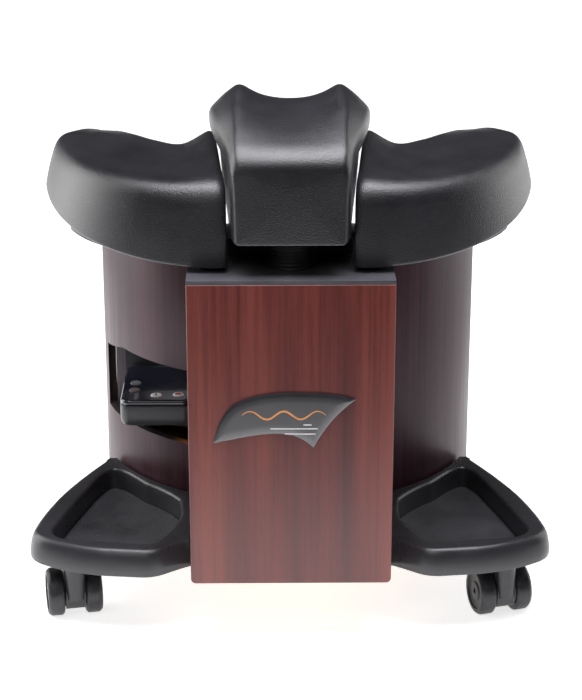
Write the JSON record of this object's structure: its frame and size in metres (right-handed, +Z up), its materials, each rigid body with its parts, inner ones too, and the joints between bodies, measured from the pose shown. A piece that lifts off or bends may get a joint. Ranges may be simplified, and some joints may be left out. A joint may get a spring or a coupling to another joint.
{
  "type": "pedicure foot spa cabinet",
  "caption": "Portable pedicure foot spa on casters: cherry drum cabinet, moulded footrests, tool trays, hand control and a basin that slides out of the back.",
  "frame": {"origin": "centre of the bounding box, on the floor under the casters", "axes": "+Z up, the front panel faces -Y, the basin slides out towards +Y, +X to the right seen from the front"},
  "size_m": [0.536, 0.489, 0.5468],
  "materials": {
    "cherry": "satin cherry veneer",
    "cherry_drum": "dark cherry laminate, soft gloss",
    "bare_ply": "bare plywood",
    "badge_plastic": "domed dark grey, glossy",
    "black_skin": "pebbled moulded foam skin, semi-gloss",
    "black_plastic": "fine-grained black moulding",
    "charcoal_plastic": "satin charcoal moulding",
    "grey_plastic": "satin grey",
    "grey_rubber": "matt dark grey",
    "white_plastic": "glossy white",
    "dark_gloss": "dark navy overlay film",
    "tread": "black twin-wheel tread",
    "steel": "bright zinc plate"
  },
  "bodies": {
    "cabinet": {"front_panel": "cherry", "left_return": "cherry", "right_return": "cherry", "badge": "badge_plastic", "left_wall": "cherry_drum", "right_wall": "cherry_drum", "base_board": "bare_ply", "rear_sill": "cherry_drum", "power_inlet": "black_plastic", "tub_shelf": "grey_plastic", "air_pump": "black_plastic", "control_box": "grey_plastic", "deck": "black_plastic", "post_socket": "steel", "left_pan": "black_plastic", "right_pan": "black_plastic", "left_rest_foot": "black_plastic", "right_rest_foot": "black_plastic", "left_footrest": "black_skin", "right_footrest": "black_skin", "handset_cradle": "black_plastic", "pocket_divider": "cherry_drum", "left_tray": "charcoal_plastic", "right_tray": "charcoal_plastic", "left_mat": "grey_rubber", "right_mat": "grey_rubber", "caster_front_left_mount": "steel", "caster_front_right_mount": "steel", "caster_rear_left_mount": "steel", "caster_rear_right_mount": "steel"},
    "centre_rest": {"footrest_post": "black_plastic", "centre_pan": "black_plastic", "centre_footrest": "black_skin"},
    "basin": {"tub": "white_plastic", "bubble_mat": "grey_rubber"},
    "handset": {"handset_shell": "grey_plastic", "handset_fascia": "dark_gloss"},
    "up_key": {"key_up": "grey_plastic"},
    "down_key": {"key_down": "grey_plastic"},
    "heat_key": {"key_heat": "white_plastic"},
    "main_key": {"key_power": "white_plastic"},
    "swivel_front_left": {"caster_front_left_hood": "black_plastic", "caster_front_left_axle": "steel"},
    "wheel_front_left_l": {"caster_front_left_wheel_l": "tread"},
    "wheel_front_left_r": {"caster_front_left_wheel_r": "tread"},
    "swivel_front_right": {"caster_front_right_hood": "black_plastic", "caster_front_right_axle": "steel"},
    "wheel_front_right_l": {"caster_front_right_wheel_l": "tread"},
    "wheel_front_right_r": {"caster_front_right_wheel_r": "tread"},
    "swivel_rear_left": {"caster_rear_left_hood": "black_plastic", "caster_rear_left_axle": "steel"},
    "wheel_rear_left_l": {"caster_rear_left_wheel_l": "tread"},
    "wheel_rear_left_r": {"caster_rear_left_wheel_r": "tread"},
    "swivel_rear_right": {"caster_rear_right_hood": "black_plastic", "caster_rear_right_axle": "steel"},
    "wheel_rear_right_l": {"caster_rear_right_wheel_l": "tread"},
    "wheel_rear_right_r": {"caster_rear_right_wheel_r": "tread"}
  },
  "joints": [
    {"name": "centre_rest_lift", "type": "slide", "parent": "cabinet", "child": "centre_rest", "axis": [0, 0, 1], "range_m": [0, 0.06]},
    {"name": "basin_slide", "type": "slide", "parent": "cabinet", "child": "basin", "axis": [0, 1, 0], "range_m": [0, 0.28]},
    {"name": "handset_pull", "type": "slide", "parent": "cabinet", "child": "handset", "axis": [0, -1, 0], "range_m": [0, 0.12]},
    {"name": "up_key_press", "type": "slide", "parent": "handset", "child": "up_key", "axis": [0, 0, -1], "range_m": [0, 0.0008], "stiffness_N_per_m": 300, "springref_m": -0.001},
    {"name": "down_key_press", "type": "slide", "parent": "handset", "child": "down_key", "axis": [0, 0, -1], "range_m": [0, 0.0008], "stiffness_N_per_m": 300, "springref_m": -0.001},
    {"name": "heat_key_press", "type": "slide", "parent": "handset", "child": "heat_key", "axis": [0, 0, -1], "range_m": [0, 0.0008], "stiffness_N_per_m": 300, "springref_m": -0.001},
    {"name": "main_key_press", "type": "slide", "parent": "handset", "child": "main_key", "axis": [0, 0, -1], "range_m": [0, 0.0008], "stiffness_N_per_m": 300, "springref_m": -0.001},
    {"name": "front_left_swivel", "type": "hinge", "parent": "cabinet", "child": "swivel_front_left", "pos_m": [-0.222, -0.1835, 0.056], "axis": [0, 0, 1], "continuous": true},
    {"name": "front_left_wheel_l_spin", "type": "hinge", "parent": "swivel_front_left", "child": "wheel_front_left_l", "pos_m": [-0.22505, -0.16779, 0.025], "axis": [0.9816, 0.1908, 0], "continuous": true},
    {"name": "front_left_wheel_r_spin", "type": "hinge", "parent": "swivel_front_left", "child": "wheel_front_left_r", "pos_m": [-0.22505, -0.16779, 0.025], "axis": [0.9816, 0.1908, 0], "continuous": true},
    {"name": "front_right_swivel", "type": "hinge", "parent": "cabinet", "child": "swivel_front_right", "pos_m": [0.222, -0.1835, 0.056], "axis": [0, 0, 1], "continuous": true},
    {"name": "front_right_wheel_l_spin", "type": "hinge", "parent": "swivel_front_right", "child": "wheel_front_right_l", "pos_m": [0.21759, -0.16812, 0.025], "axis": [0.9613, 0.2756, 0], "continuous": true},
    {"name": "front_right_wheel_r_spin", "type": "hinge", "parent": "swivel_front_right", "child": "wheel_front_right_r", "pos_m": [0.21759, -0.16812, 0.025], "axis": [0.9613, 0.2756, 0], "continuous": true},
    {"name": "rear_left_swivel", "type": "hinge", "parent": "cabinet", "child": "swivel_rear_left", "pos_m": [-0.15, 0.1785, 0.056], "axis": [0, 0, 1], "continuous": true},
    {"name": "rear_left_wheel_l_spin", "type": "hinge", "parent": "swivel_rear_left", "child": "wheel_rear_left_l", "pos_m": [-0.15651, 0.19312, 0.025], "axis": [0.9135, 0.4067, 0], "continuous": true},
    {"name": "rear_left_wheel_r_spin", "type": "hinge", "parent": "swivel_rear_left", "child": "wheel_rear_left_r", "pos_m": [-0.15651, 0.19312, 0.025], "axis": [0.9135, 0.4067, 0], "continuous": true},
    {"name": "rear_right_swivel", "type": "hinge", "parent": "cabinet", "child": "swivel_rear_right", "pos_m": [0.15, 0.1785, 0.056], "axis": [0, 0, 1], "continuous": true},
    {"name": "rear_right_wheel_l_spin", "type": "hinge", "parent": "swivel_rear_right", "child": "wheel_rear_right_l", "pos_m": [0.15387, 0.19403, 0.025], "axis": [0.9703, -0.2419, 0], "continuous": true},
    {"name": "rear_right_wheel_r_spin", "type": "hinge", "parent": "swivel_rear_right", "child": "wheel_rear_right_r", "pos_m": [0.15387, 0.19403, 0.025], "axis": [0.9703, -0.2419, 0], "continuous": true}
  ]
}
